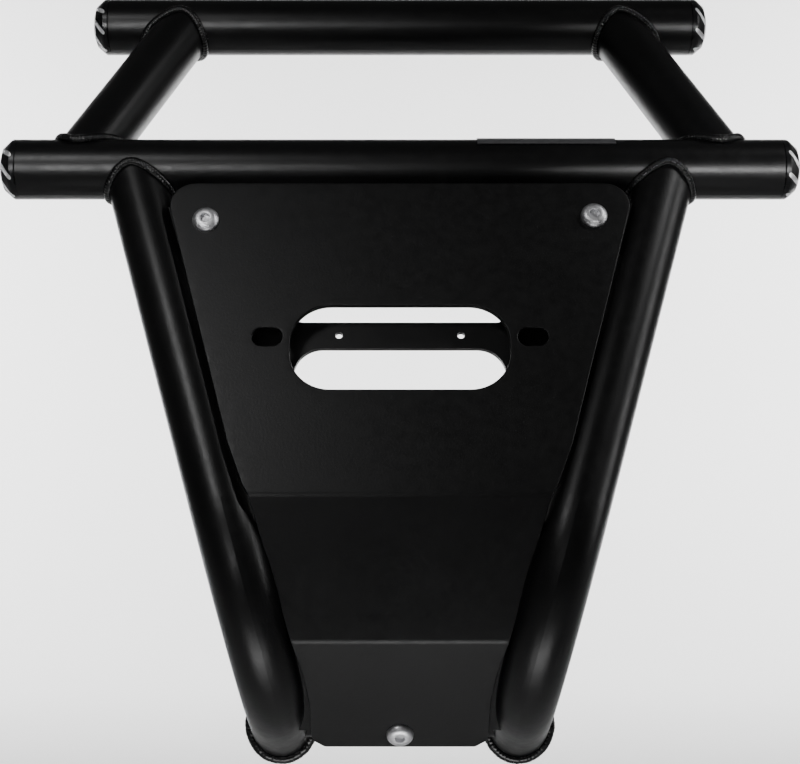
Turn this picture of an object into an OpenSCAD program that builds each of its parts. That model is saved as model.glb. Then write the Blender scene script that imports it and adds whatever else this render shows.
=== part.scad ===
// Front bumper for a four-wheeled off-road vehicle: welded round-tube hoop
// with two bent down tubes, a folded skid plate and milled end caps.
// Final frame: millimetres, +Z up, front faces -Y, origin midway between the
// two lower mounting flanges, on their rear faces.
// Bumper frame (inside place()): origin on the axis of the front cross tube,
// down tubes in the plane y = 0; place() leans it back and moves it.

/* [Tube] */
// Outside diameter of every tube
tube_od = 44.45; // [38:0.05:50]
// Wall thickness of every tube
tube_wall = 2.4; // [1.6:0.1:4]
// Length of the front cross tube without its caps
front_len = 564; // [520:1:640]
// Length of the rear cross tube without its caps
rear_len = 469; // [420:1:540]
// Height of the rear cross tube over the front one, in the bumper frame
rear_rise = 167; // [120:1:200]
// Set-back of the rear cross tube, in the bumper frame
rear_back = 48; // [20:1:80]
// Half distance between the connector axes at the front tube
conn_front_x = 240.9; // [230:0.1:250]
// Half distance between the connector axes at the rear tube
conn_rear_x = 173.3; // [165:0.1:185]

/* [Down tubes] */
// Half distance between the down tube axes at the front tube
leg_x = 198.1; // [190:0.1:205]
// Inward splay of each down tube
splay = 16.4; // [15:0.1:18]
// Straight length from the front tube axis to the bend
leg_straight = 280; // [270:1:290]
// Centre-line radius of the bend
bend_r = 114.3; // [101.6:0.1:127]
// Straight length after the bend
leg_tail = 48; // [42:1:60]
// How far the whole bumper leans back
lean = 25; // [20:0.5:28]

/* [Skid plate] */
// Plate thickness
plate_t = 5; // [3:0.5:6]
// Front face of the upper panel, ahead of the down tube plane
plate_front = 24; // [23:0.5:28]
// Top edge of the plate, below the front tube axis
plate_top = 26.7; // [25:0.1:32]
// First fold line, below the front tube axis
fold1 = 267.4; // [260:0.1:275]
// Length of the middle panel
mid_len = 100; // [96:0.5:104]
// Middle panel turn from the upper panel
mid_turn = 31; // [28:0.5:33]
// Length of the lower panel
low_len = 101.7; // [96:0.1:106]
// Lower panel turn from the upper panel
low_turn = 60; // [56:0.5:62]
// Width of the opening in the plate
win_w = 152; // [140:1:156]
// Height of the opening in the plate
win_h = 64.6; // [60:0.1:70]
// Centre of the opening, below the front tube axis
win_z = 158.6; // [155:0.1:162]
// Corner radius of the opening
win_r = 28; // [20:1:30]

/* [Fasteners and flanges] */
// Thread size of the plate screws
screw_d = 10; // [8:1:10]
// Head diameter of the plate screws
head_d = 19; // [16:0.5:20]
// Diameter of each lower flange
flange_d = 50; // [49.5:0.5:56]
// Thickness of each lower flange
flange_t = 8; // [6:0.5:10]
// Bolt hole diameter in flanges and tabs
bolt_hole = 10.5; // [10.2:0.1:11.5]
// Size of the weld beads
bead = 3.4; // [2.5:0.1:4.5]

/* [Hidden] */
$fn = 72;
r = tube_od / 2;
ri = r - tube_wall;
eps = 0.01;
leg_path = leg_straight + bend_r;
leg_end_x = leg_x - leg_path * sin(splay);
leg_drop = leg_path * cos(splay);
leg_end_y = bend_r + leg_tail;
tip_cut = 7.5;
black = [0.035, 0.035, 0.037];
steel = [0.62, 0.62, 0.63];
// fold points on the front face, in the bumper frame (y, z)
p1 = [-plate_front, -fold1];
p2 = [p1[0] + mid_len * sin(mid_turn), p1[1] - mid_len * cos(mid_turn)];
screw_x = 139;
screw_z = 54.5;
// the left plate screw sits this much lower than the right one
left_screw_drop = 3.4;
low_screw_t = 88.5;
slot_x = 92;
slot_z = 150.8;

// bumper frame -> final frame
module place() {
  translate([0, -flange_t, 0]) rotate([-lean, 0, 0])
    translate([0, -leg_end_y, leg_drop]) children();
}
// s = -1 left, +1 right (x towards +X)
module side(s) { if (s > 0) children(); else mirror([1, 0, 0]) children(); }

// ---------- tubes ----------
module x_tube(len, rad) { rotate([0, 90, 0]) cylinder(h = len, r = rad, center = true); }
module front_bar(rad) { x_tube(front_len, rad); }
module rear_bar(rad, len = rear_len) { translate([0, rear_back, rear_rise]) x_tube(len, rad); }

// a round bar between two points
module rod(a, b, rad, ext = 0) {
  d = b - a;
  l = norm(d);
  translate(a) rotate([0, acos(d[2] / l), atan2(d[1], d[0])])
    translate([0, 0, -ext]) cylinder(h = l + 2 * ext, r = rad);
}
module conn_rod(rad, ext = 0) {
  rod([conn_front_x, 0, 0], [conn_rear_x, rear_back, rear_rise], rad, ext);
}
module connector() {
  difference() {
    conn_rod(r);
    conn_rod(ri, 1);
    front_bar(r);
    rear_bar(r);
    // the feather tips of both copes are ground off
    rotate([-atan2(rear_back, rear_rise), 0, 0]) {
      translate([0, -60, tip_cut - 60]) cube([400, 120, 60]);
      translate([0, -60, norm([rear_back, rear_rise]) - tip_cut]) cube([400, 120, 60]);
    }
  }
}
// down tube in its own plane: local -Z runs down the tube, +Y is backwards
module leg_local() { translate([leg_x, 0, 0]) rotate([0, splay, 0]) children(); }
module leg_upper(rad, ext = 0) {
  leg_local() translate([0, 0, -leg_straight]) cylinder(h = leg_straight + ext, r = rad);
}
module leg_tail_rod(rad, ext = 0) {
  leg_local() translate([0, bend_r, -leg_straight - bend_r]) rotate([-90, 0, 0])
    cylinder(h = leg_tail + ext, r = rad);
}
module bend_solid(rad) {
  leg_local() translate([0, bend_r, -leg_straight])
    rotate([0, 0, -90]) rotate([90, 0, 0]) rotate([0, 0, -90])
      rotate_extrude(angle = 90, $fn = 96) translate([bend_r, 0]) circle(r = rad);
}
module leg_raw(rad) {
  union() {
    leg_upper(rad);
    bend_solid(rad);
    leg_tail_rod(rad, 30);
  }
}
module behind_flange() { translate([-400, -flange_t, -200]) cube([800, 200, 400]); }
module down_tube() {
  difference() {
    place() difference() {
      leg_raw(r);
      leg_upper(ri, 30);
      bend_solid(ri);
      leg_tail_rod(ri, 40);
      front_bar(r);
      translate([0, -60, -tip_cut]) cube([400, 120, 60]);
    }
    behind_flange();
  }
}

// ---------- end caps ----------
cap_rim = 4.2;
cap_len = 13;
cap_face_r = 11.5;
module cap_body() {
  rotate([0, 90, 0]) rotate_extrude() polygon([[0, -16], [ri - 0.9, -16], [ri - 0.15, -14.5],
    [ri - 0.15, 0], [r - 0.9, 0], [r, 0.9], [r, cap_rim], [r - 0.9, cap_rim + 1.6],
    [cap_face_r + 5.1, cap_len - 1.9], [cap_face_r, cap_len], [0, cap_len]]);
}
// outer face towards +X; eight slanted cuts round the bevel
module end_cap() {
  difference() {
    cap_body();
    for (i = [0:7]) rotate([i * 45 + 10, 0, 0])
      translate([cap_rim + 4.3, 0, r - 2.9]) rotate([0, 38, 0]) rotate([0, 0, -44])
        rotate([0, 90, 0]) translate([0, 0, -4.6]) cylinder(h = 9.2, r = 1.7, $fn = 32);
    rotate([0, 90, 0]) translate([0, 0, cap_len - 1.2]) cylinder(h = 3, r = 6.5);
  }
}
module cap_at(half, y, z, s) { translate([s * half, y, z]) rotate([0, 0, s > 0 ? 0 : 180]) end_cap(); }

// ---------- skid plate ----------
module sym() { children(); mirror([1, 0]) children(); }
corner_r = 18;
// a little high, so that the top edge cuts the round corner cleanly
corner = [147.5, -plate_top - corner_r + 0.1];
side_knee = [116, -230];
side_dir = side_knee - corner;
side_turn = atan2(side_dir[1], side_dir[0]) + acos(corner_r / norm(side_dir));
// round top corner, down to where the side edge leaves it
corner_arc = [for (k = [0:12]) let (a = 90 + (side_turn - 90) * k / 12) corner + corner_r * [cos(a), sin(a)]];
function down(turn) = [sin(turn), -cos(turn)];
function back(turn) = [cos(turn), sin(turn)];
// where the back faces of two panels meet at a fold
function inner_fold(p, a, b) = p + plate_t * (back(a) + back(b)) / (1 + back(a) * back(b));
p3 = p2 + low_len * down(low_turn);
// bent side view of the plate, (y, z) in the bumper frame
module side_view() {
  polygon([[-plate_front, -plate_top], p1, p2, p3, p3 + plate_t * back(low_turn),
    inner_fold(p2, mid_turn, low_turn), inner_fold(p1, 0, mid_turn), [-plate_front + plate_t, -plate_top]]);
}
// front view of the plate, (x, z)
half_view = concat([[corner[0], -plate_top + 5]], corner_arc, [side_knee, [104.9, -260], [100.8, -fold1], [73.2, p2[1]],
  [66.2, p2[1] - 30 * cos(low_turn)], [62.6, p2[1] - 58 * cos(low_turn)],
  [61.8, p2[1] - (low_len - 7) * cos(low_turn)], [53, p2[1] - (low_len + 0.5) * cos(low_turn)], [53, p3[1] - 20]]);
module front_view() {
  n = len(half_view);
  polygon(concat(half_view, [for (i = [0:n - 1]) [-half_view[n - 1 - i][0], half_view[n - 1 - i][1]]]));
}
module round_rect(w, h, rr) {
  union() {
    square([w, h - 2 * rr], center = true);
    square([w - 2 * rr, h], center = true);
    for (i = [-1, 1]) for (j = [-1, 1]) translate([i * (w / 2 - rr), j * (h / 2 - rr)]) circle(r = rr);
  }
}
module long_hole(w, h) {
  union() {
    square([w - h, h], center = true);
    for (i = [-1, 1]) translate([i * (w - h) / 2, 0]) circle(r = h / 2);
  }
}
module skid_plate() {
  color(black) place() difference() {
    intersection() {
      rotate([90, 0, 90]) linear_extrude(height = 400, center = true) side_view();
      translate([0, 140, 0]) rotate([90, 0, 0]) linear_extrude(height = 200) front_view();
    }
    translate([0, -plate_front + plate_t + 5, 0]) rotate([90, 0, 0]) linear_extrude(height = plate_t + 10) {
      translate([0, -win_z]) round_rect(win_w, win_h, win_r);
      for (i = [-1, 1]) translate([i * slot_x, -slot_z]) long_hole(21, 14.3);
    }
    for (i = [0:2]) at_screw(i) translate([0, 0, -20]) cylinder(h = 40, d = bolt_hole);
    // relief beside the down tubes
    for (s = [-1, 1]) side(s) {
      leg_upper(r + 0.4);
      bend_solid(r + 0.4);
    }
  }
}

// ---------- strap behind the opening ----------
module strap_outline() {
  sym() difference() {
    union() {
      translate([-eps, -150.6]) square([150, 20.2]);
      translate([74, -176]) square([90, 52]);
      translate([54, -170.6]) square([21, 20.1]);
      translate([68, -130.5]) square([7, 6.1]);
    }
    translate([54, -170.6]) circle(r = 20);
    translate([68, -124.4]) circle(r = 6);
    translate([43, -140.4]) circle(d = 5.2);
  }
}
module cross_strap() {
  color(black) place() difference() {
    translate([0, -1, 0]) rotate([90, 0, 0]) linear_extrude(height = 4) strap_outline();
    for (s = [-1, 1]) side(s) leg_upper(r);
    for (s = [-1, 1]) side(s) leg_local() translate([0, -30, -300]) cube([60, 60, 300]);
  }
}

// ---------- plate mounts ----------
module plate_tab(drop = 0) {
  z = -screw_z - drop;
  difference() {
    union() {
      translate([screw_x, -plate_front + plate_t + 5, z]) rotate([90, 0, 0]) cylinder(h = 5, r = 17);
      translate([screw_x, -plate_front + plate_t, z - 17]) cube([20, 5, 34]);
      translate([152, -plate_front + plate_t, z - 17]) cube([30, 16, 34]);
    }
    translate([screw_x, -plate_front, z]) rotate([-90, 0, 0]) cylinder(h = 20, d = bolt_hole);
    leg_upper(r);
    leg_local() translate([-3, -40, -300]) cube([60, 60, 300]);
    leg_local() translate([-19, -40, -300]) cube([60, 26, 300]);
  }
}
// web behind the edge of the lower panel, welded to the inside of the bend
module side_web() {
  difference() {
    translate([50, p2[0], p2[1]]) rotate([low_turn, 0, 0]) translate([0, plate_t + 0.02, -90]) cube([36, 4, 88]);
    leg_upper(r);
    bend_solid(r);
    leg_tail_rod(r, 30);
  }
}
bar_y = 141;
bar_r = 12.7;
module low_bar(rad, len) { translate([0, bar_y, -leg_drop]) x_tube(len, rad); }
module lower_cross_bar() {
  color(black) place() difference() {
    low_bar(bar_r, 2 * leg_end_x);
    low_bar(bar_r - 2, 2 * leg_end_x + 2);
    for (s = [-1, 1]) side(s) leg_tail_rod(r, 10);
  }
}
// bracket that carries the lower end of the plate from the cross bar
module lower_plate_bracket() {
  color(black) place() difference() {
    union() {
      folded_back(70, 103, 20);
      for (s = [-1, 1]) side(s) gusset();
    }
    at_screw(2) translate([0, 0, -40]) cylinder(h = 60, d = bolt_hole);
    low_bar(bar_r, 200);
  }
}
module folded_back(t0, t1, half) {
  translate([0, p2[0], p2[1]]) rotate([low_turn, 0, 0])
    translate([-half, plate_t + 0.02, -t1]) cube([2 * half, 4.96, t1 - t0]);
}
module gusset() {
  translate([12, p2[0], p2[1]]) rotate([low_turn, 0, 0]) rotate([90, 0, 90])
    linear_extrude(height = 5) polygon([[plate_t + 2, -78], [plate_t + 2, -98], [34, -119], [40, -108]]);
}

// ---------- fasteners ----------
module at_screw(i) {
  if (i < 2) translate([(i == 0 ? -1 : 1) * screw_x, -plate_front, -screw_z - (i == 0 ? left_screw_drop : 0)])
    rotate([90, 0, 0]) children();
  else translate([0, p2[0] + low_screw_t * sin(low_turn), p2[1] - low_screw_t * cos(low_turn)])
    rotate([90 + low_turn, 0, 0]) children();
}
// origin on the seat of the head, head towards +Z
module button_screw() {
  difference() {
    union() {
      rotate_extrude() polygon([[0, -27], [screw_d / 2 - 1, -27], [screw_d / 2 - 0.05, -26], [screw_d / 2 - 0.05, 0],
        [head_d / 2, 0], [head_d / 2, 0.8], [head_d / 2 - 0.5, 2.1], [head_d / 2 - 1.6, 3.4],
        [head_d / 2 - 3.2, 4.5], [head_d / 2 - 4.4, 5], [0, 5]]);
    }
    translate([0, 0, 1.6]) cylinder(h = 6, d = 6.35 / cos(30), $fn = 6);
  }
}
module plate_screws() { color(steel) place() for (i = [0:2]) at_screw(i) button_screw(); }
module plate_washers() {
  color(steel) place() for (i = [0:2]) at_screw(i) translate([0, 0, -plate_t - 7])
    difference() { cylinder(h = 2, d = 20); translate([0, 0, -1]) cylinder(h = 4, d = bolt_hole); }
}
module hex_nut(af, h, d) {
  difference() {
    cylinder(h = h, d = af / cos(30), $fn = 6);
    translate([0, 0, -1]) cylinder(h = h + 2, d = d);
  }
}
module plate_nuts() {
  color(steel) place() for (i = [0:2]) at_screw(i) translate([0, 0, -plate_t - 15]) hex_nut(17, 8, screw_d);
}

// ---------- lower flanges ----------
module lower_flange(s) {
  color(black) translate([s * leg_end_x, 0, 0]) rotate([90, 0, 0]) difference() {
    cylinder(h = flange_t, d = flange_d);
    translate([0, 0, -1]) cylinder(h = flange_t + 2, d = bolt_hole);
  }
}
module flange_nut(s) {
  color(steel) translate([s * leg_end_x, -flange_t, 0]) rotate([90, 0, 0]) hex_nut(17, 8, 10);
}
module frame_tab() {
  ax = leg_x - 75 * tan(splay);
  difference() {
    union() {
      translate([ax - 2.5, 5, -95]) cube([5, 37, 40]);
      translate([ax - 2.5, 42, -75]) rotate([0, 90, 0]) cylinder(h = 5, r = 20);
    }
    translate([ax - 10, 42, -75]) rotate([0, 90, 0]) cylinder(h = 20, d = bolt_hole);
    leg_upper(r);
  }
}

// ---------- weld beads ----------
module leg_weld() {
  difference() {
    intersection() { leg_upper(r + bead); front_bar(r + bead); }
    front_bar(r);
    leg_upper(r, 30);
  }
}
module conn_front_weld() {
  difference() {
    intersection() { conn_rod(r + bead); front_bar(r + bead); }
    front_bar(r + 0.03);
    conn_rod(r + 0.03, 1);
  }
}
// the rear bead is the front one turned half round the connector's middle
module conn_rear_weld() {
  m = [(conn_front_x + conn_rear_x) / 2, rear_back / 2, rear_rise / 2];
  translate(m) rotate(a = 180, v = [0, -rear_rise, rear_back]) translate(-m) conn_front_weld();
}
module flange_weld() {
  difference() {
    intersection() {
      place() leg_tail_rod(r + 2.4, 30);
      translate([leg_end_x, -flange_t, 0]) rotate([90, 0, 0]) cylinder(h = 5, r = 40);
      translate([leg_end_x, 20, 0]) rotate([90, 0, 0]) cylinder(h = 60, d = flange_d + 1);
    }
    place() leg_tail_rod(r, 40);
  }
}
// plain curved plate, no marking, on the upper front of the front tube
module blank_badge() {
  color([0.6, 0.6, 0.62]) place() intersection() {
    difference() {
      translate([108, 0, 0]) x_tube(102, r + 1);
      translate([108, 0, 0]) x_tube(110, r);
    }
    translate([50, -40, 9]) cube([120, 33, 30]);
  }
}

front_cross_tube();
rear_cross_tube();
left_connector_tube();
right_connector_tube();
left_down_tube();
right_down_tube();
front_left_end_cap();
front_right_end_cap();
rear_left_end_cap();
rear_right_end_cap();
skid_plate();
cross_strap();
upper_left_plate_tab();
upper_right_plate_tab();
left_side_web();
right_side_web();
lower_cross_bar();
lower_plate_bracket();
plate_screws();
plate_washers();
plate_nuts();
left_lower_flange();
right_lower_flange();
left_flange_nut();
right_flange_nut();
left_frame_tab();
right_frame_tab();
left_leg_weld();
right_leg_weld();
front_left_connector_weld();
front_right_connector_weld();
rear_left_connector_weld();
rear_right_connector_weld();
left_flange_weld();
right_flange_weld();
blank_badge();

module front_cross_tube() { color(black) place() difference() { front_bar(r); x_tube(front_len + 2, ri); } }
module rear_cross_tube() { color(black) place() difference() { rear_bar(r); rear_bar(ri, rear_len + 2); } }
module left_connector_tube() { color(black) place() side(-1) connector(); }
module right_connector_tube() { color(black) place() side(1) connector(); }
module left_down_tube() { color(black) side(-1) down_tube(); }
module right_down_tube() { color(black) side(1) down_tube(); }
module front_left_end_cap() { color(black) place() cap_at(front_len / 2, 0, 0, -1); }
module front_right_end_cap() { color(black) place() cap_at(front_len / 2, 0, 0, 1); }
module rear_left_end_cap() { color(black) place() cap_at(rear_len / 2, rear_back, rear_rise, -1); }
module rear_right_end_cap() { color(black) place() cap_at(rear_len / 2, rear_back, rear_rise, 1); }
module upper_left_plate_tab() { color(black) place() side(-1) plate_tab(left_screw_drop); }
module upper_right_plate_tab() { color(black) place() side(1) plate_tab(); }
module left_side_web() { color(black) place() side(-1) side_web(); }
module right_side_web() { color(black) place() side(1) side_web(); }
module left_lower_flange() { lower_flange(-1); }
module right_lower_flange() { lower_flange(1); }
module left_flange_nut() { flange_nut(-1); }
module right_flange_nut() { flange_nut(1); }
module left_frame_tab() { color(black) place() side(-1) frame_tab(); }
module right_frame_tab() { color(black) place() side(1) frame_tab(); }
module left_leg_weld() { color(black) place() side(-1) leg_weld(); }
module right_leg_weld() { color(black) place() side(1) leg_weld(); }
module front_left_connector_weld() { color(black) place() side(-1) conn_front_weld(); }
module front_right_connector_weld() { color(black) place() side(1) conn_front_weld(); }
module rear_left_connector_weld() { color(black) place() side(-1) conn_rear_weld(); }
module rear_right_connector_weld() { color(black) place() side(1) conn_rear_weld(); }
module left_flange_weld() { color(black) side(-1) flange_weld(); }
module right_flange_weld() { color(black) side(1) flange_weld(); }
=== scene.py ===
import math
import random

import bmesh
import bpy
import numpy as np
from mathutils import Matrix, Vector, noise
from mathutils.geometry import delaunay_2d_cdt


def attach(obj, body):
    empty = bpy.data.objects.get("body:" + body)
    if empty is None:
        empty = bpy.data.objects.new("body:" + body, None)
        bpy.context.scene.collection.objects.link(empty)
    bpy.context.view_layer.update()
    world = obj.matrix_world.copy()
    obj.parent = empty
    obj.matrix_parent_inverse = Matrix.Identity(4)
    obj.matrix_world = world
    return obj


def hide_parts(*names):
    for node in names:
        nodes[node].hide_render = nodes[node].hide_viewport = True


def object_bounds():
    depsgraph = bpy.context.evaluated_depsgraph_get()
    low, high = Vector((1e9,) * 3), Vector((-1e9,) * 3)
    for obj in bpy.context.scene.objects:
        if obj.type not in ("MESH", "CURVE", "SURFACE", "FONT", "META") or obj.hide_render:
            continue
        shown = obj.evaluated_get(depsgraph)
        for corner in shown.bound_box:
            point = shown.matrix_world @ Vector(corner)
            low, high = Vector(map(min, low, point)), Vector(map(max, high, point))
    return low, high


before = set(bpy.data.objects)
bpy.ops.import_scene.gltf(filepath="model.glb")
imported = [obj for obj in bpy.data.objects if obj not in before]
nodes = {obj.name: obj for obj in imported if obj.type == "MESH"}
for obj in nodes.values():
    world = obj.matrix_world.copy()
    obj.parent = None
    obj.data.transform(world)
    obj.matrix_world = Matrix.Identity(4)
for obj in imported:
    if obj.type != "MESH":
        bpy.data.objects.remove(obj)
cad_lo, cad_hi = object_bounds()
scene = bpy.context.scene

# ---------------------------------------------------------------- dimensions
# millimetres, the same numbers as the CAD
R = 22.225
FRONT_LEN, REAR_LEN = 564.0, 469.0
RISE, BACK = 167.0, 48.0
CONN_F, CONN_R = 240.9, 173.3
LEG_X, SPLAY = 198.1, math.radians(16.4)
BEND_R, TAIL = 114.3, 48.0
LEG_PATH = 280.0 + BEND_R
LEG_END_X = LEG_X - LEG_PATH * math.sin(SPLAY)
DROP = LEG_PATH * math.cos(SPLAY)
END_Y = BEND_R + TAIL
LEAN = math.radians(25)
FLANGE_T = 8.0
PLATE_T, PLATE_FRONT, PLATE_TOP = 5.0, 24.0, 26.7


def place(p):
    """Bumper frame, millimetres -> row frame, metres."""
    x, y, z = p
    y, z = y - END_Y, z + DROP
    c, s = math.cos(LEAN), math.sin(LEAN)
    return Vector((x, y * c + z * s - FLANGE_T, -y * s + z * c)) / 1000.0


# ---------------------------------------------------------------- materials
def new_material(name):
    m = bpy.data.materials.new(name)
    m.use_nodes = True
    nt = m.node_tree
    bsdf = next(n for n in nt.nodes if n.type == "BSDF_PRINCIPLED")
    return m, nt, bsdf


def coords(nt):
    return nt.nodes.new("ShaderNodeTexCoord").outputs["Object"]


def noise_node(nt, vec, scale, detail=2.0, rough=0.5):
    n = nt.nodes.new("ShaderNodeTexNoise")
    n.inputs["Scale"].default_value = scale
    n.inputs["Detail"].default_value = detail
    n.inputs["Roughness"].default_value = rough
    nt.links.new(vec, n.inputs["Vector"])
    return n.outputs["Fac"]


def ramp(nt, fac, stops):
    r = nt.nodes.new("ShaderNodeValToRGB")
    el = r.color_ramp.elements
    while len(el) > len(stops):
        el.remove(el[-1])
    while len(el) < len(stops):
        el.new(1.0)
    for e, (pos, col) in zip(el, stops):
        e.position = pos
        e.color = (*col, 1.0) if not isinstance(col, (int, float)) else (col, col, col, 1.0)
    nt.links.new(fac, r.inputs["Fac"])
    return r.outputs["Color"]


def map_range(nt, fac, lo, hi, a=0.0, b=1.0):
    n = nt.nodes.new("ShaderNodeMapRange")
    n.inputs["From Min"].default_value = a
    n.inputs["From Max"].default_value = b
    n.inputs["To Min"].default_value = lo
    n.inputs["To Max"].default_value = hi
    nt.links.new(fac, n.inputs["Value"])
    return n.outputs["Result"]


def bump(nt, height, strength, distance, below=None):
    b = nt.nodes.new("ShaderNodeBump")
    b.inputs["Strength"].default_value = strength
    b.inputs["Distance"].default_value = distance
    nt.links.new(height, b.inputs["Height"])
    if below is not None:
        nt.links.new(below, b.inputs["Normal"])
    return b.outputs["Normal"]


def powder_coat(name, dark, light, rough_lo, rough_hi, peel, grain):
    """Baked black powder: orange peel about 1.5 mm wide, fine grain, a little dust in the tone."""
    m, nt, bsdf = new_material(name)
    v = coords(nt)
    cloud = noise_node(nt, v, 22.0, 4.0, 0.6)
    speck = noise_node(nt, v, 2600.0, 2.0, 0.6)
    tone = ramp(nt, cloud, [(0.3, dark), (0.75, light)])
    dots = ramp(nt, speck, [(0.60, (0.0, 0.0, 0.0)), (0.8, (0.010, 0.010, 0.0105))])
    add = nt.nodes.new("ShaderNodeMix")
    add.data_type = "RGBA"
    add.blend_type = "ADD"
    add.inputs["Factor"].default_value = 1.0
    nt.links.new(tone, add.inputs["A"])
    nt.links.new(dots, add.inputs["B"])
    nt.links.new(add.outputs["Result"], bsdf.inputs["Base Color"])
    mid = noise_node(nt, v, 140.0, 3.0, 0.55)
    nt.links.new(map_range(nt, mid, rough_lo, rough_hi, 0.3, 0.7), bsdf.inputs["Roughness"])
    bsdf.inputs["Specular IOR Level"].default_value = 0.36
    wide = noise_node(nt, v, 620.0, 1.0, 0.4)
    fine = noise_node(nt, v, 2300.0, 2.0, 0.6)
    n = bump(nt, wide, peel, 0.0004)
    nt.links.new(bump(nt, fine, grain, 0.00012, n), bsdf.inputs["Normal"])
    return m


def weld_coat(name):
    m, nt, bsdf = new_material(name)
    v = coords(nt)
    patch = noise_node(nt, v, 260.0, 3.0, 0.6)
    nt.links.new(ramp(nt, patch, [(0.3, (0.002, 0.002, 0.0022)), (0.8, (0.005, 0.005, 0.0053))]),
                 bsdf.inputs["Base Color"])
    nt.links.new(map_range(nt, patch, 0.12, 0.3, 0.3, 0.7), bsdf.inputs["Roughness"])
    bsdf.inputs["Specular IOR Level"].default_value = 0.5
    nt.links.new(bump(nt, noise_node(nt, v, 900.0, 2.0, 0.5), 0.25, 0.0003), bsdf.inputs["Normal"])
    return m


def zinc_steel(name, base, rough):
    m, nt, bsdf = new_material(name)
    v = coords(nt)
    patch = noise_node(nt, v, 420.0, 3.0, 0.6)
    lo = tuple(c * 0.82 for c in base)
    nt.links.new(ramp(nt, patch, [(0.3, lo), (0.7, base)]), bsdf.inputs["Base Color"])
    bsdf.inputs["Metallic"].default_value = 1.0
    nt.links.new(map_range(nt, patch, rough - 0.06, rough + 0.08, 0.3, 0.7), bsdf.inputs["Roughness"])
    nt.links.new(bump(nt, noise_node(nt, v, 3000.0, 2.0, 0.5), 0.12, 0.0001), bsdf.inputs["Normal"])
    return m


def anodised(name):
    """Black anodised billet: fine turning lines round X on the face and rim."""
    m, nt, bsdf = new_material(name)
    v = coords(nt)
    patch = noise_node(nt, v, 60.0, 3.0, 0.6)
    nt.links.new(ramp(nt, patch, [(0.3, (0.004, 0.004, 0.0045)), (0.8, (0.010, 0.010, 0.011))]),
                 bsdf.inputs["Base Color"])
    bsdf.inputs["Metallic"].default_value = 0.35
    nt.links.new(map_range(nt, patch, 0.24, 0.34, 0.3, 0.7), bsdf.inputs["Roughness"])
    wave = nt.nodes.new("ShaderNodeTexWave")
    wave.wave_type = "BANDS"
    wave.bands_direction = "X"
    wave.inputs["Scale"].default_value = 900.0
    wave.inputs["Distortion"].default_value = 0.6
    wave.inputs["Detail"].default_value = 1.0
    nt.links.new(v, wave.inputs["Vector"])
    n = bump(nt, wave.outputs["Fac"], 0.08, 0.0001)
    nt.links.new(bump(nt, noise_node(nt, v, 2600.0, 2.0, 0.5), 0.08, 0.0001, n), bsdf.inputs["Normal"])
    return m


def bare_cuts(nt, v, sign, seat, cy, cz):
    """1 inside the eight slanted cuts of a cap, 0 elsewhere; lengths in metres."""
    def op(kind, a, b=None):
        n = nt.nodes.new("ShaderNodeMath")
        n.operation = kind
        for k, x in enumerate((a, b)):
            if isinstance(x, (int, float)):
                n.inputs[k].default_value = x
            elif x is not None:
                nt.links.new(x, n.inputs[k])
        return n.outputs["Value"]
    sep = nt.nodes.new("ShaderNodeSeparateXYZ")
    nt.links.new(v, sep.inputs["Vector"])
    xl = op("SUBTRACT", op("MULTIPLY", sep.outputs["X"], sign), seat + 0.0043)
    yl = op("MULTIPLY", op("SUBTRACT", sep.outputs["Y"], cy), sign)
    zl = op("SUBTRACT", sep.outputs["Z"], cz)
    rho = op("SQRT", op("ADD", op("MULTIPLY", yl, yl), op("MULTIPLY", zl, zl)))
    turn = op("ARCTAN2", op("MULTIPLY", yl, -1.0), zl)
    eighth = math.radians(45)
    part = op("FLOORED_MODULO", op("ADD", turn, eighth / 2 - math.radians(10 - sign * 25)), eighth)
    delta = op("SUBTRACT", part, eighth / 2)
    q = nt.nodes.new("ShaderNodeCombineXYZ")
    nt.links.new(xl, q.inputs["X"])
    nt.links.new(op("MULTIPLY", op("MULTIPLY", rho, op("SINE", delta)), -1.0), q.inputs["Y"])
    nt.links.new(op("SUBTRACT", op("MULTIPLY", rho, op("COSINE", delta)), R / 1000 - 0.0029), q.inputs["Z"])
    cross = nt.nodes.new("ShaderNodeVectorMath")
    cross.operation = "CROSS_PRODUCT"
    nt.links.new(q.outputs["Vector"], cross.inputs[0])
    cross.inputs[1].default_value = (0.5668, -0.6947, -0.4429)
    away = nt.nodes.new("ShaderNodeVectorMath")
    away.operation = "LENGTH"
    nt.links.new(cross.outputs["Vector"], away.inputs[0])
    return op("LESS_THAN", away.outputs["Value"], 0.00176)


def cap_metal(name, sign, seat, cy, cz):
    m = anodised(name)
    nt = m.node_tree
    bsdf = next(n for n in nt.nodes if n.type == "BSDF_PRINCIPLED")
    mask = bare_cuts(nt, coords(nt), sign, seat, cy, cz)
    old = bsdf.inputs["Base Color"].links[0].from_socket
    mix = nt.nodes.new("ShaderNodeMix")
    mix.data_type = "RGBA"
    nt.links.new(mask, mix.inputs["Factor"])
    nt.links.new(old, mix.inputs["A"])
    mix.inputs["B"].default_value = (0.86, 0.86, 0.87, 1.0)
    nt.links.new(mix.outputs["Result"], bsdf.inputs["Base Color"])
    nt.links.new(map_range(nt, mask, 0.35, 1.0), bsdf.inputs["Metallic"])
    rough = bsdf.inputs["Roughness"].links[0].from_socket
    add = nt.nodes.new("ShaderNodeMath")
    add.operation = "MULTIPLY_ADD"
    nt.links.new(mask, add.inputs[0])
    add.inputs[1].default_value = 0.25
    nt.links.new(rough, add.inputs[2])
    nt.links.new(add.outputs["Value"], bsdf.inputs["Roughness"])
    return m


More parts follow.
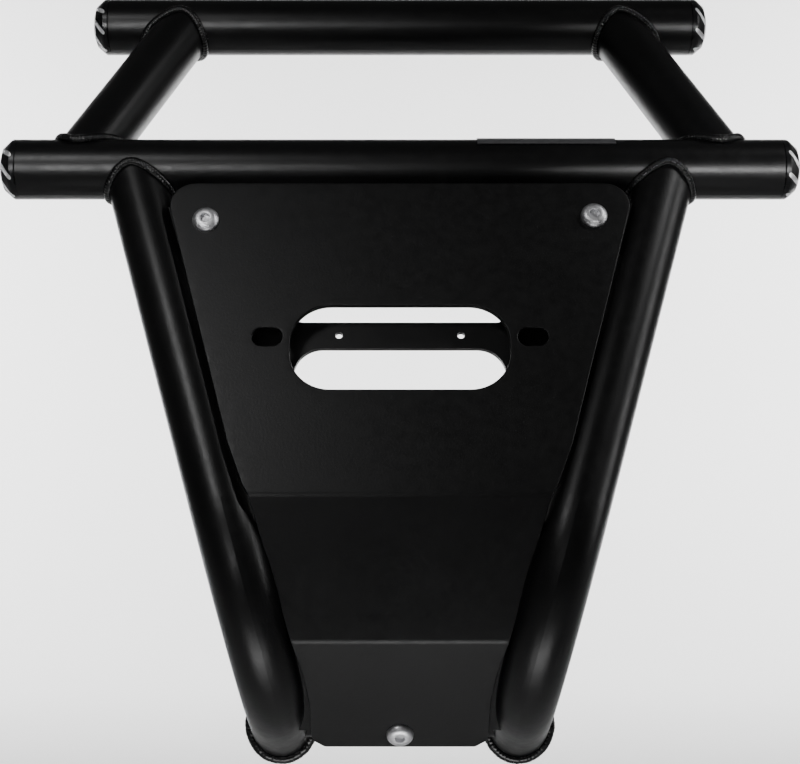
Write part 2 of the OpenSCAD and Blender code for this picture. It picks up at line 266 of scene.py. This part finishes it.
coat = powder_coat("black_powder_coat", (0.0022, 0.0022, 0.0024), (0.0042, 0.0042, 0.0045), 0.30, 0.38, 0.14, 0.22)
plate_coat = powder_coat("plate_powder_coat", (0.0028, 0.0028, 0.003), (0.005, 0.005, 0.0053), 0.35, 0.43, 0.12, 0.30)
beads = weld_coat("weld_coat")
steel = zinc_steel("zinc_plated_steel", (0.88, 0.88, 0.90), 0.42)
CAP_LEN, CAP_RIM = 0.013, 0.004200000000000001
foil = zinc_steel("badge_foil", (0.42, 0.42, 0.44), 0.42)


def paint(obj, mat):
    obj.data.materials.clear()
    obj.data.materials.append(mat)


for name, obj in nodes.items():
    if name.endswith("_weld"):
        paint(obj, beads)
    elif name.endswith("end_cap"):
        sign = 1.0 if "right" in name else -1.0
        lo = min((obj.matrix_world @ Vector(c)).z for c in obj.bound_box)
        hi = max((obj.matrix_world @ Vector(c)).z for c in obj.bound_box)
        front, back = [min((obj.matrix_world @ Vector(c)).y for c in obj.bound_box),
                       max((obj.matrix_world @ Vector(c)).y for c in obj.bound_box)]
        tip = max(abs((obj.matrix_world @ Vector(c)).x) for c in obj.bound_box)
        paint(obj, cap_metal(name + "_metal", sign, tip - CAP_LEN + CAP_RIM, (front + back) / 2, (lo + hi) / 2))
    elif name in ("plate_screws", "plate_washers", "plate_nuts") or name.endswith("flange_nut"):
        paint(obj, steel)
    elif name == "blank_badge":
        paint(obj, foil)
    elif name in ("skid_plate", "cross_strap"):
        paint(obj, plate_coat)
    else:
        paint(obj, coat)


# ---------------------------------------------------------------- mesh helpers
def make_object(name, verts, faces, mat, node=None, smooth_deg=35.0, weighted=False):
    me = bpy.data.meshes.new(name)
    me.from_pydata([tuple(v) for v in verts], [], faces)
    me.validate()
    bm = bmesh.new()
    bm.from_mesh(me)
    bmesh.ops.remove_doubles(bm, verts=bm.verts, dist=2e-6)
    bmesh.ops.recalc_face_normals(bm, faces=bm.faces)
    bm.to_mesh(me)
    bm.free()
    me.polygons.foreach_set("use_smooth", [True] * len(me.polygons))
    me.set_sharp_from_angle(angle=math.radians(smooth_deg))
    ob = bpy.data.objects.new(name, me)
    scene.collection.objects.link(ob)
    me.materials.append(mat)
    if weighted:
        w = ob.modifiers.new("weighted", "WEIGHTED_NORMAL")
        w.weight = 100
        w.keep_sharp = True
    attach(ob, "root")
    if node:
        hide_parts(*([node] if isinstance(node, str) else node))
    return ob


# ---------------------------------------------------------------- weld beads
def weld_bead(name, node, points, seed, radius=3.3, pitch=2.3, amp=0.10):
    """A rippled bead along a closed line of points (row frame, metres)."""
    rng = random.Random(seed)
    pts = np.array([tuple(p) for p in points])
    seg = np.linalg.norm(np.roll(pts, -1, 0) - pts, axis=1)
    total = seg.sum()
    count = int(round(total * 1000 / pitch))
    n = count * 7
    s_at = np.concatenate([[0], np.cumsum(seg)])
    closed = np.vstack([pts, pts[:1]])
    s = np.arange(n) * total / n
    line = np.stack([np.interp(s, s_at, closed[:, k]) for k in range(3)], 1)
    for _ in range(6):
        line = (np.roll(line, 1, 0) + line * 2 + np.roll(line, -1, 0)) / 4
    tan = np.roll(line, -1, 0) - np.roll(line, 1, 0)
    tan /= np.linalg.norm(tan, axis=1)[:, None]
    centre = line.mean(0)
    out = line - centre
    out -= (out * tan).sum(1)[:, None] * tan
    out /= np.linalg.norm(out, axis=1)[:, None]
    side = np.cross(tan, out)
    k = 14
    wob = [rng.uniform(-1, 1) for _ in range(count + 1)]
    wob[count] = wob[0]
    verts, faces = [], []
    for i in range(n):
        u = i * count / n
        j = int(u)
        f = u - j
        w = wob[j] * (1 - f) + wob[j + 1] * f
        for a in range(k):
            t = 2 * math.pi * a / k
            phase = u + 0.22 * math.cos(t)
            ripple = abs(math.sin(math.pi * phase))
            rr = radius * (1 - amp + amp * 1.3 * ripple ** 0.6 + 0.05 * w) / 1000
            p = line[i] + rr * (math.cos(t) * out[i] + math.sin(t) * side[i])
            verts.append(p)
    for i in range(n):
        for a in range(k):
            i2, a2 = (i + 1) % n, (a + 1) % k
            faces.append((i * k + a, i2 * k + a, i2 * k + a2, i * k + a2))
    return make_object(name, verts, faces, beads, node, smooth_deg=60)


def saddle(origin, direction, rad, steps=240):
    """Line where a tube from origin along direction leaves an equal tube along X (bumper frame, mm)."""
    o, d = np.array(origin, float), np.array(direction, float)
    d /= np.linalg.norm(d)
    e2 = np.cross(d, [1.0, 0, 0])
    e2 /= np.linalg.norm(e2)
    e1 = np.cross(e2, d)
    pts = []
    for i in range(steps):
        a = 2 * math.pi * i / steps
        q = rad * (math.cos(a) * e1 + math.sin(a) * e2)
        qa, qb = q[1:], d[1:]
        A, B, C = qb @ qb, 2 * qa @ qb, qa @ qa - rad * rad
        lift = (2 * A * 0.34 * rad * math.sin(a) ** 2) ** 2  # rounds the arch where the two tubes' sides meet
        t = (-B + math.sqrt(max(0.0, B * B - 4 * A * C) + lift)) / (2 * A)
        pts.append(o + q + t * d)
    return pts


grow = 0.9
for s, side in ((-1, "left"), (1, "right")):
    leg = [place((s * p[0], p[1], p[2])) for p in
           saddle((LEG_X, 0, 0), (-math.sin(SPLAY), 0, -math.cos(SPLAY)), R + grow)]
    weld_bead(f"{side}_leg_bead", f"{side}_leg_weld", leg, 11 + s)
    d = (CONN_R - CONN_F, BACK, RISE)
    low = [place((s * p[0], p[1], p[2])) for p in saddle((CONN_F, 0, 0), d, R + grow)]
    weld_bead(f"front_{side}_connector_bead", f"front_{side}_connector_weld", low, 21 + s)
    top = [place((s * p[0], p[1] + BACK, p[2] + RISE)) for p in saddle((CONN_R, 0, 0), tuple(-c for c in d), R + grow)]
    weld_bead(f"rear_{side}_connector_bead", f"rear_{side}_connector_weld", top, 31 + s)
    ring = []
    for i in range(200):
        a = 2 * math.pi * i / 200
        rr, q = R + 0.5, 5.0
        x = s * LEG_END_X + rr * math.cos(a)
        t = (-q - rr * math.sin(a) * math.sin(LEAN)) / math.cos(LEAN)
        y = -FLANGE_T + rr * math.sin(a) * math.sin(LEAN) + t * math.cos(LEAN)
        z = rr * math.sin(a) * math.cos(LEAN) - t * math.sin(LEAN)
        ring.append(Vector((x, y, z)) / 1000)
    weld_bead(f"{side}_flange_bead", f"{side}_flange_weld", ring, 41 + s, radius=4.2, pitch=2.8, amp=0.04)


# ---------------------------------------------------------------- skid plate
FOLD1 = 240.7
FOLD2 = FOLD1 + 100.0
LOW_END = FOLD2 + 101.7
TURN1, TURN2 = math.radians(31), math.radians(60)
BEND_OUT = 9.0
T1 = BEND_OUT * math.tan(TURN1 / 2)
T2 = BEND_OUT * math.tan((TURN2 - TURN1) / 2)
P1 = np.array([-PLATE_FRONT, -PLATE_TOP - FOLD1])
P2 = P1 + 100.0 * np.array([math.sin(TURN1), -math.cos(TURN1)])


def plate_point(u, v, d):
    """Flat plate place (across, down, depth behind the front face) -> row frame."""
    def flat(p, turn, along):
        return p + along * np.array([math.sin(turn), -math.cos(turn)]) + d * np.array([math.cos(turn), math.sin(turn)])

    def bent(p, a0, a1, t, along):
        start = p - t * np.array([math.sin(a0), -math.cos(a0)])
        centre = start + BEND_OUT * np.array([math.cos(a0), math.sin(a0)])
        a = a0 + (a1 - a0) * (along + t) / (2 * t)
        return centre - (BEND_OUT - d) * np.array([math.cos(a), math.sin(a)])

    if v < FOLD1 - T1:
        q = flat(P1, 0.0, v - FOLD1)
    elif v < FOLD1 + T1:
        q = bent(P1, 0.0, TURN1, T1, v - FOLD1)
    elif v < FOLD2 - T2:
        q = flat(P1, TURN1, v - FOLD1)
    elif v < FOLD2 + T2:
        q = bent(P2, TURN1, TURN2, T2, v - FOLD2)
    else:
        q = flat(P2, TURN2, v - FOLD2)
    return place((u, q[0], q[1]))


def fillet(points, radii, seg=6):
    """A closed polygon with its corners rounded."""
    out = []
    n = len(points)
    for i in range(n):
        p = np.array(points[i], float)
        a, b = np.array(points[i - 1], float), np.array(points[(i + 1) % n], float)
        r = radii[i]
        if r <= 0:
            out.append(p)
            continue
        da, db = (a - p) / np.linalg.norm(a - p), (b - p) / np.linalg.norm(b - p)
        half = math.acos(max(-1, min(1, da @ db))) / 2
        t = r / math.tan(half)
        c = p + (da + db) / np.linalg.norm(da + db) * r / math.sin(half)
        p0, p1 = p + da * t, p + db * t
        a0, a1 = math.atan2(*(p0 - c)[::-1]), math.atan2(*(p1 - c)[::-1])
        turn = (a1 - a0 + math.pi) % (2 * math.pi) - math.pi
        for k in range(seg + 1):
            w = a0 + turn * k / seg
            out.append(c + r * np.array([math.cos(w), math.sin(w)]))
    return out


def densify(loop, step=3.0):
    out = []
    for i in range(len(loop)):
        a, b = np.array(loop[i]), np.array(loop[(i + 1) % len(loop)])
        n = max(1, int(math.ceil(np.linalg.norm(b - a) / step)))
        for k in range(n):
            out.append(a + (b - a) * k / n)
    keep = [out[0]]
    for p in out[1:]:
        if np.linalg.norm(p - keep[-1]) > 0.05:
            keep.append(p)
    if np.linalg.norm(keep[0] - keep[-1]) < 0.05:
        keep.pop()
    return keep


def circle_loop(cx, cy, r, n=40):
    return [np.array([cx + r * math.cos(2 * math.pi * i / n), cy + r * math.sin(2 * math.pi * i / n)]) for i in range(n)]


def area(loop):
    return 0.5 * sum(loop[i][0] * loop[(i + 1) % len(loop)][1] - loop[(i + 1) % len(loop)][0] * loop[i][1]
                     for i in range(len(loop)))


def inside(p, loop):
    hit = False
    for i in range(len(loop)):
        (x1, y1), (x2, y2) = loop[i], loop[(i + 1) % len(loop)]
        if (y1 > p[1]) != (y2 > p[1]) and p[0] < (x2 - x1) * (p[1] - y1) / (y2 - y1) + x1:
            hit = not hit
    return hit


def inward(loop):
    """Unit normals that point into the material, for an outline that runs anticlockwise or a hole that runs clockwise."""
    n = len(loop)
    res = []
    for i in range(n):
        d = np.array(loop[(i + 1) % n]) - np.array(loop[i - 1])
        d = d / np.linalg.norm(d)
        res.append(np.array([-d[1], d[0]]))
    return res


def sheet_plate(name, node, outline, holes, thick, edge, mapper, extra, mat):
    """A flat plate with rounded edges, taken through mapper(u, v, depth)."""
    loops = [outline if area(outline) > 0 else outline[::-1]]
    loops += [h if area(h) < 0 else h[::-1] for h in holes]
    normals = [inward(lp) for lp in loops]
    profile = [(edge * (1 - math.sin(math.radians(a))), edge * (1 - math.cos(math.radians(a)))) for a in (0, 30, 60, 90)]
    profile += [(i, thick - d) for i, d in profile[::-1]]
    verts, faces = [], []
    for lp, nm in zip(loops, normals):
        base = len(verts)
        n = len(lp)
        for ins, dep in profile:
            for p, q in zip(lp, nm):
                verts.append(mapper(p[0] + q[0] * ins, p[1] + q[1] * ins, dep))
        for r in range(len(profile) - 1):
            for i in range(n):
                j = (i + 1) % n
                faces.append((base + r * n + i, base + r * n + j, base + (r + 1) * n + j, base + (r + 1) * n + i))
    flat, edges = [], []
    rims = []
    for lp, nm in zip(loops, normals):
        base = len(flat)
        rim = [(p[0] + q[0] * edge, p[1] + q[1] * edge) for p, q in zip(lp, nm)]
        rims.append(rim)
        flat += [Vector(p) for p in rim]
        edges += [(base + i, base + (i + 1) % len(rim)) for i in range(len(rim))]
    rim_pts = np.array([tuple(p) for p in flat])
    for p in extra:
        if inside(p, rims[0]) and not any(inside(p, h) for h in rims[1:]):
            if np.min(np.hypot(rim_pts[:, 0] - p[0], rim_pts[:, 1] - p[1])) > 1.2:
                flat.append(Vector(p))
    vs, _, fs, _, _, _ = delaunay_2d_cdt(flat, edges, [], 0, 1e-5)
    for depth in (0.0, thick):
        base = len(verts)
        for v in vs:
            verts.append(mapper(v.x, v.y, depth))
        for f in fs:
            c = (sum(vs[i].x for i in f) / len(f), sum(vs[i].y for i in f) / len(f))
            if inside(c, rims[0]) and not any(inside(c, h) for h in rims[1:]):
                faces.append(tuple(base + i for i in f))
    return make_object(name, verts, faces, mat, node, smooth_deg=40, weighted=True)


right = [(129.5, 0), (165.5, 0), (116.0, 203.3), (104.9, 233.3), (100.8, 240.7), (73.2, 340.7), (66.2, 370.7),
         (62.6, 398.7), (61.8, 435.4), (53.0, 442.4)]
corner_r = [0, 0, 40, 15, 15, 15, 20, 30, 5, 5]
cx, cy, cr = 147.5, 18.0, 18.0
qx, qy = 116.0 - cx, 203.3 - cy
dist = math.hypot(qx, qy)
ang = math.atan2(qy, qx) - math.acos(cr / dist)
arc = [np.array([cx + cr * math.cos(a), cy + cr * math.sin(a)])
       for a in np.linspace(-math.pi / 2, ang, 14)]
lower = fillet([tuple(arc[-1])] + right[2:] + [(0.0, 442.4)], [0] + corner_r[2:] + [0])[1:-1]
half = arc + lower
outline = densify(half + [np.array([-p[0], p[1]]) for p in half[::-1]])
win = fillet([(-76, 99.6), (76, 99.6), (76, 164.2), (-76, 164.2)], [28] * 4, seg=14)
holes = [densify(win)]
for s in (-1, 1):
    slot = fillet([(s * 92 - 10.5, 116.95), (s * 92 + 10.5, 116.95), (s * 92 + 10.5, 131.25), (s * 92 - 10.5, 131.25)],
                  [7.1] * 4, seg=10)
    holes.append(densify(slot, 2.0))
    holes.append(circle_loop(s * 139, 27.8 + (3.4 if s < 0 else 0.0), 5.25))
holes.append(circle_loop(0, FOLD2 + 88.5, 5.25))
extra = []
for f, t in ((FOLD1, T1), (FOLD2, T2)):
    for v in np.linspace(f - t, f + t, 9):
        for u in np.arange(-105, 105.1, 2.5):
            extra.append((float(u), float(v)))
for v in np.arange(8, 440, 11.0):
    if all(abs(v - f) > 4 for f in (FOLD1, FOLD2)):
        for u in np.arange(-160, 161, 10.0):
            extra.append((float(u), float(v)))
sheet_plate("folded_skid_plate", "skid_plate", outline, holes, PLATE_T, 0.8, plate_point, extra, plate_coat)


# ---------------------------------------------------------------- screws
def frame_at(p, axis):
    """Matrix whose +Z is axis, at point p."""
    z = Vector(axis).normalized()
    x = Vector((1, 0, 0))
    y = z.cross(x).normalized()
    x = y.cross(z).normalized()
    m = Matrix((x, y, z)).transposed().to_4x4()
    m.translation = p
    return m


def button_head():
    """Rings of (radius, height, share of hexagon) from the socket's floor out to the thread, mm."""
    hexr = 3.18
    rings = [(0.05, 1.6, 0), (hexr * 0.98, 1.6, 1), (hexr, 1.7, 1), (hexr, 4.65, 1), (hexr + 0.25, 4.93, 0.8), (4.1, 5.0, 0.0)]
    for a in range(0, 91, 9):
        t = math.radians(a)
        rings.append((4.5 + 5.0 * math.sin(t), 0.9 + 4.1 * math.cos(t) ** 1.05, 0))
    rings += [(9.5, 0.35, 0), (9.3, 0.02, 0), (5.0, 0.0, 0), (4.95, -26.0, 0), (4.0, -27.0, 0), (0.05, -27.0, 0)]
    return rings


def add_rings(verts, faces, rings, m, seg=72):
    base = len(verts)
    for r, z, h in rings:
        for i in range(seg):
            a = 2 * math.pi * i / seg
            k = ((a + math.pi / 6) % (math.pi / 3)) - math.pi / 6
            rr = r * (1 - h + h / math.cos(k))
            verts.append(m @ (Vector((rr * math.cos(a), rr * math.sin(a), z)) / 1000))
    for j in range(len(rings) - 1):
        for i in range(seg):
            i2 = (i + 1) % seg
            faces.append((base + j * seg + i, base + j * seg + i2, base + (j + 1) * seg + i2, base + (j + 1) * seg + i))
    faces.append(tuple(base + i for i in range(seg)))
    faces.append(tuple(base + (len(rings) - 1) * seg + i for i in range(seg))[::-1])


def screw_frames():
    res = []
    n0 = place((0, -1, 0)) - place((0, 0, 0))
    for s in (-1, 1):
        res.append(frame_at(place((s * 139.0, -PLATE_FRONT, -54.5 - (3.4 if s < 0 else 0.0))), n0))
    t = 88.5
    y, z = P2 + t * np.array([math.sin(TURN2), -math.cos(TURN2)])
    n1 = place((0, -math.cos(TURN2), -math.sin(TURN2))) - place((0, 0, 0))
    res.append(frame_at(place((0, y, z)), n1))
    return res


verts, faces = [], []
for m in screw_frames():
    add_rings(verts, faces, button_head(), m @ Matrix.Rotation(0.3, 4, "Z"))
make_object("button_head_screws", verts, faces, steel, "plate_screws", smooth_deg=38)


# ---------------------------------------------------------------- floor, light, camera
def stage_material(name, colour):
    m, nt, bsdf = new_material(name)
    v = coords(nt)
    f = noise_node(nt, v, 3.0, 2.0, 0.5)
    lo = tuple(c * 0.985 for c in colour)
    nt.links.new(ramp(nt, f, [(0.3, lo), (0.7, colour)]), bsdf.inputs["Base Color"])
    bsdf.inputs["Roughness"].default_value = 0.9
    bsdf.inputs["Specular IOR Level"].default_value = 0.1
    return m


floor_z = cad_lo.z - 0.45
profile = [(-4.5, floor_z), (2.6, floor_z)]
for k in range(1, 13):
    a = math.radians(90 * k / 12)
    profile.append((2.6 + 0.9 * math.sin(a), floor_z + 0.9 * (1 - math.cos(a))))
profile.append((3.5, floor_z + 4.0))
sv, sf = [], []
for y, z in profile:
    sv += [(-6.0, y, z), (6.0, y, z)]
for i in range(len(profile) - 1):
    sf.append((2 * i, 2 * i + 1, 2 * i + 3, 2 * i + 2))
me = bpy.data.meshes.new("studio_floor")
me.from_pydata(sv, [], sf)
me.polygons.foreach_set("use_smooth", [True] * len(me.polygons))
floor = bpy.data.objects.new("studio_floor", me)
scene.collection.objects.link(floor)
me.materials.append(stage_material("pale_floor", (0.9, 0.9, 0.9)))

world = bpy.data.worlds.new("studio")
scene.world = world
world.use_nodes = True
bg = next(n for n in world.node_tree.nodes if n.type == "BACKGROUND")
bg.inputs["Color"].default_value = (1.0, 1.0, 1.0, 1.0)
bg.inputs["Strength"].default_value = 0.06


def soft_light(name, at, to, size_x, size_y, power, spread=180.0):
    d = bpy.data.lights.new(name, "AREA")
    d.shape = "RECTANGLE"
    d.size, d.size_y = size_x, size_y
    d.energy = power
    d.spread = math.radians(spread)
    o = bpy.data.objects.new(name, d)
    scene.collection.objects.link(o)
    o.location = at
    o.rotation_euler = (Vector(to) - Vector(at)).to_track_quat("-Z", "Y").to_euler()
    return o


soft_light("over_left", (-0.60, -1.05, 1.22), (-0.16, -0.02, 0.25), 0.30, 0.30, 0.36, 50.0)
soft_light("front_up", (-0.56, -2.15, 0.80), (-0.30, 0.0, 0.40), 0.60, 0.60, 0.12, 36.0)
soft_light("front_low", (-0.62, -2.15, 0.42), (-0.32, 0.0, 0.47), 0.40, 0.50, 0.30, 19.0)
soft_light("front_right_small", (0.40, -1.6, 0.20), (0.31, 0.0, 0.41), 0.12, 0.06, 0.14, 13.0)
soft_light("right_strip", (1.25, -0.15, 0.55), (0.1, -0.05, 0.25), 0.06, 1.0, 0.5, 70.0)
soft_light("right_high", (0.85, -0.40, 1.2), (-0.1, -0.05, 0.2), 0.06, 0.5, 0.35, 60.0)
soft_light("low_front", (0.0, -0.45, -0.40), (0.0, 0.0, 0.0), 0.5, 0.2, 0.5, 90.0)
for s, side in ((-1, "left"), (1, "right")):
    soft_light(f"back_wash_{side}", (s * 3.0, 1.9, 1.1), (s * 0.4, 3.4, 0.5), 1.2, 1.6, 110.0, 100.0)

cam_data = bpy.data.cameras.new("camera")
cam = bpy.data.objects.new("camera", cam_data)
scene.collection.objects.link(cam)
cam_data.lens = 72.0
cam_data.sensor_width = 36.0
cam_data.clip_start, cam_data.clip_end = 0.05, 50.0
cam.location = (0.0, -1.1865, 0.2533)
cam.rotation_euler = (math.radians(90), 0.0, 0.0)
scene.camera = cam
